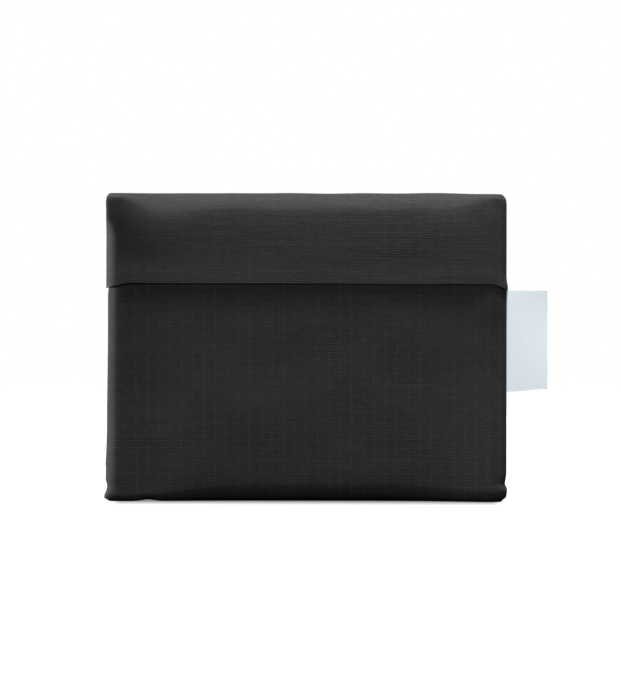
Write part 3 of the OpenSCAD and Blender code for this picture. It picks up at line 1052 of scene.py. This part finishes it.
mouthRow = stitchRow("mouth_hem_stitches", "pocket", [acrossLine(frontGrid, row=7, trim=7)])
flapRow = stitchRow("flap_hem_stitches", "flap", [acrossLine(hemBand, row=-2, trim=6)])
backRow = stitchRow("back_strip_stitches", "pocket", [acrossLine(hoodOutside, row=1, trim=16)])
bindingFace = bindingGrid - outward(bindingGrid) * mouthBinding["cloth"] / 2
bindingRow = stitchRow("bag_mouth_stitches", "pocket", [
    acrossLine(bindingFace, row, trim=1, side=-1) for row in (1, -2)])
for strap, grid in zip(straps, strapGrids):
    face = grid - outward(grid) * shoulderStrap["cloth"] / 2
    rows = [lengthLine(face, column, side=-1) for column in (1, -2)]
    stitchRow(strap.name + "_stitches", "pocket", rows)
joinFace = joinGrid + outward(joinGrid) * joinTape["cloth"] / 2
joinRow = stitchRow("joining_stitches", "pocket", [acrossLine(joinFace, row, trim=1) for row in (1, -2)])
tapeRow = stitchRow("seam_stitches", "pocket", [
    lengthLine(tapeGrids["left_seam_tape"], column=-2), lengthLine(tapeGrids["right_seam_tape"], column=1)])
print("stitches made")
# Camera: straight in front, scale in millimetres for each pixel of the photo

view = {
    "scale": 0.3608, "imageHigh": 700, "centreX": 1.5, "centreZ": 54.5, "away": 1200, "roll": 0.1,
    "sensor": 36.0, "clipStart": 0.01,
}


def makeCamera():
    data = bpy.data.cameras.new("photoCamera")
    camera = addObject("photoCamera", data)
    data.sensor_fit = "AUTO"
    data.sensor_width = view["sensor"]
    data.lens = view["sensor"] * view["away"] / (view["scale"] * view["imageHigh"])
    data.clip_start = view["clipStart"]
    camera.location = Vector((view["centreX"], -view["away"], view["centreZ"])) * mm
    camera.rotation_euler = (math.radians(90), math.radians(-view["roll"]), 0)
    bpy.context.scene.camera = camera


# Light and floor, in metres and watts

studio = {
    "ambient": 0.016, "aim": (0, 0, 0.06),
    "lamps": [
        {"name": "overhead", "at": (0.14, -0.18, 1.06), "size": (0.2, 0.14), "power": 30.5},
        {"name": "leftPanel", "at": (-1.1, 0.08, 0.14), "size": (0.5, 0.5), "power": 65},
        {"name": "frontFill", "at": (0.45, -1.2, 0.58), "size": (0.9, 0.6), "power": 10.4},
        {"name": "backFill", "at": (0.3, 1.5, 0.36), "size": (0.9, 0.7), "power": 20},
    ],
    "floorSize": 8, "floorZ": -0.00005, "floorSeen": 0.1, "floorBounce": 0.01,
    # The painted shadow on the floor: how far it spreads past the object along X and Y, and how it fades
    "shade": {"X": {"half": 0.066, "faster": 8.0}, "Y": {"half": 0.009, "faster": 1.0}},
    "shadeFade": (0.0, 0.04, 0.3, 1.0),
}


def makeLamps():
    for lamp in studio["lamps"]:
        data = bpy.data.lights.new(lamp["name"], "AREA")
        data.shape = "RECTANGLE"
        data.size, data.size_y = lamp["size"]
        data.energy = lamp["power"]
        item = addObject(lamp["name"], data)
        item.location = lamp["at"]
        aim = Vector(studio["aim"]) - Vector(lamp["at"])
        item.rotation_euler = aim.to_track_quat("-Z", "Y").to_euler()


def seenDirectly(tree):
    path = addNode(tree, "LightPath").outputs
    mirrored = math2(tree, "MAXIMUM", path["Is Glossy Ray"], path["Is Transmission Ray"])
    return math2(tree, "MAXIMUM", path["Is Camera Ray"], mirrored)


def makeWorld():
    world = bpy.data.worlds.new("studioWhite")
    bpy.context.scene.world = world
    world.use_nodes = True
    tree = world.node_tree
    strength = softStep(tree, seenDirectly(tree), 0, 1, studio["ambient"], 1.0)
    giveInputs(tree, tree.nodes["Background"], {"Strength": strength, "Color": (1, 1, 1, 1)})


# Close to the object a painted shadow darkens the floor, and elsewhere it is as white as the background
def paintedFloorShadow(tree):
    split = addNode(tree, "SeparateXYZ", {0: addNode(tree, "TexCoord").outputs["Object"]}).outputs
    past = []
    for axis, shade in studio["shade"].items():
        beyond = math2(tree, "SUBTRACT", math2(tree, "ABSOLUTE", split[axis]), shade["half"])
        beyond = math2(tree, "MULTIPLY", math2(tree, "MAXIMUM", beyond, 0.0), shade["faster"])
        past.append(math2(tree, "POWER", beyond, 2))
    away = math2(tree, "SQRT", math2(tree, "ADD", *past))
    return softStep(tree, away, *studio["shadeFade"])


def makeFloor():
    deselectAll()
    bpy.ops.mesh.primitive_plane_add(size=studio["floorSize"], location=(0, 0, studio["floorZ"]))
    floor = bpy.context.object
    floor.name = "studio_floor"
    material = bpy.data.materials.new("floorWhite")
    material.use_nodes = True
    tree = material.node_tree
    tree.nodes.remove(tree.nodes["Principled BSDF"])
    seen = seenDirectly(tree)
    pale = mixColour(tree, seen, (studio["floorBounce"],) * 3, (studio["floorSeen"],) * 3)
    matt = addNode(tree, "BsdfDiffuse", {"Color": pale}).outputs[0]
    # The floor's white is dimmed near the object: a painted shadow
    whiteWithPaintedShadow = math2(tree, "MULTIPLY", paintedFloorShadow(tree), seen)
    white = addNode(tree, "Emission", {"Strength": whiteWithPaintedShadow}).outputs[0]
    both = addNode(tree, "AddShader", {0: matt, 1: white}).outputs[0]
    giveInputs(tree, tree.nodes["Material Output"], {"Surface": both})
    floor.data.materials.append(material)


makeCamera()
makeLamps()
makeWorld()
makeFloor()
bpy.context.scene.view_settings.view_transform = "Standard"
print("floor, light and camera made")
